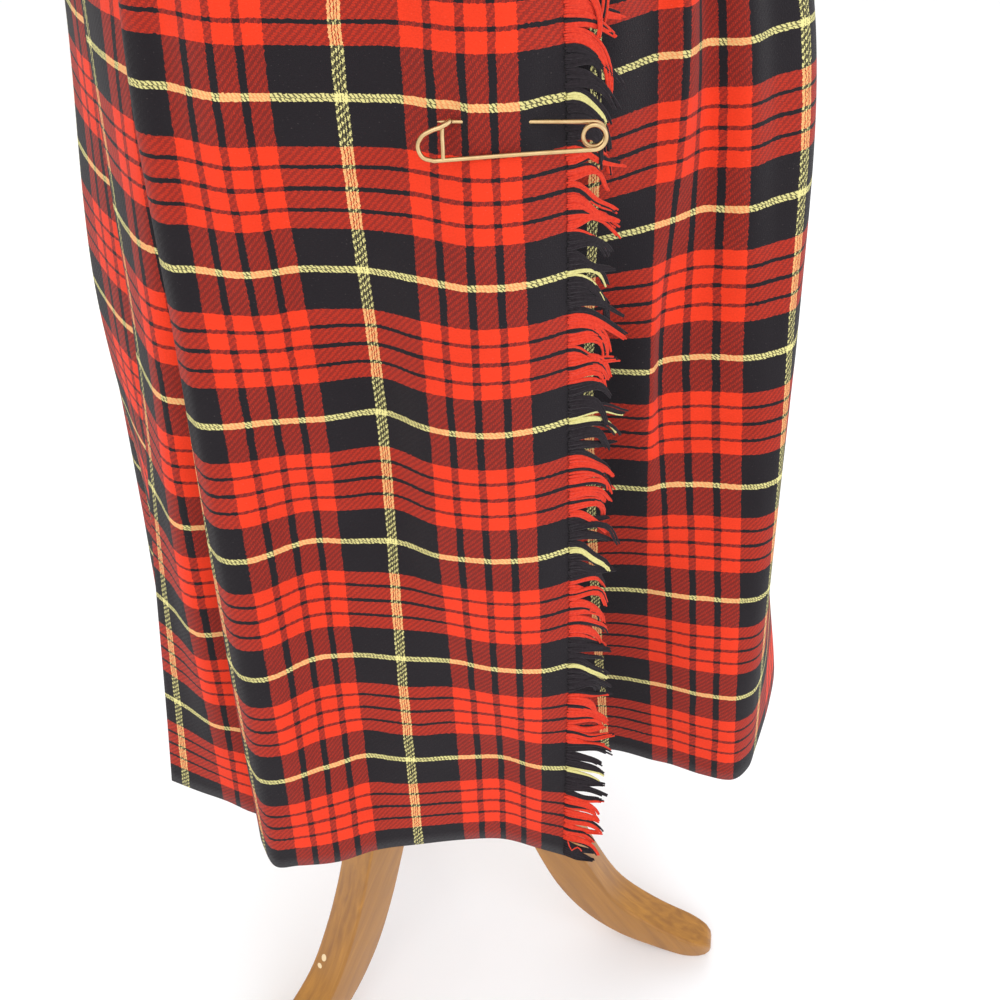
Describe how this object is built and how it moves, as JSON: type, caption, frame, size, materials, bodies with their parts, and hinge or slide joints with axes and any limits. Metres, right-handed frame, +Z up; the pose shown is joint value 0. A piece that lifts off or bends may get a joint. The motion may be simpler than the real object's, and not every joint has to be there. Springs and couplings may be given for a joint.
{
  "type": "tartan wrap kilt skirt on a limbless dress form with a wooden tripod stand",
  "caption": "Pleated wrap kilt skirt in checked wool, fringed over-apron closed with a kilt pin, hung on a smooth torso form on a wooden tripod.",
  "frame": {"origin": "on the floor, under the centre of the bounding box", "axes": "+Z up the pole; the over-apron faces -Y; the pleats run round to the back, +Y; the fringed edge hangs on the +X side of the front"},
  "size_m": [0.4412, 0.3962, 1.434],
  "materials": {
    "tartan": "matt twill wool, red and black check with fine yellow lines",
    "fringe_yarn": "loose wool yarn",
    "horn": "dull, turned",
    "brass": "bright drawn wire",
    "linen": "smooth stretched cover",
    "wood": "orange-brown stain under gloss varnish",
    "steel": "brushed tube"
  },
  "bodies": {
    "root": {"over_apron": "tartan", "pleated_back": "tartan", "under_apron": "tartan", "waistband": "tartan", "waist_button": "horn", "fringe": "fringe_yarn", "kilt_pin": "brass", "form_body": "linen", "neck_cap": "wood", "pole": "steel", "hub": "wood", "leg_1": "wood", "leg_2": "wood", "leg_3": "wood"}
  },
  "joints": []
}
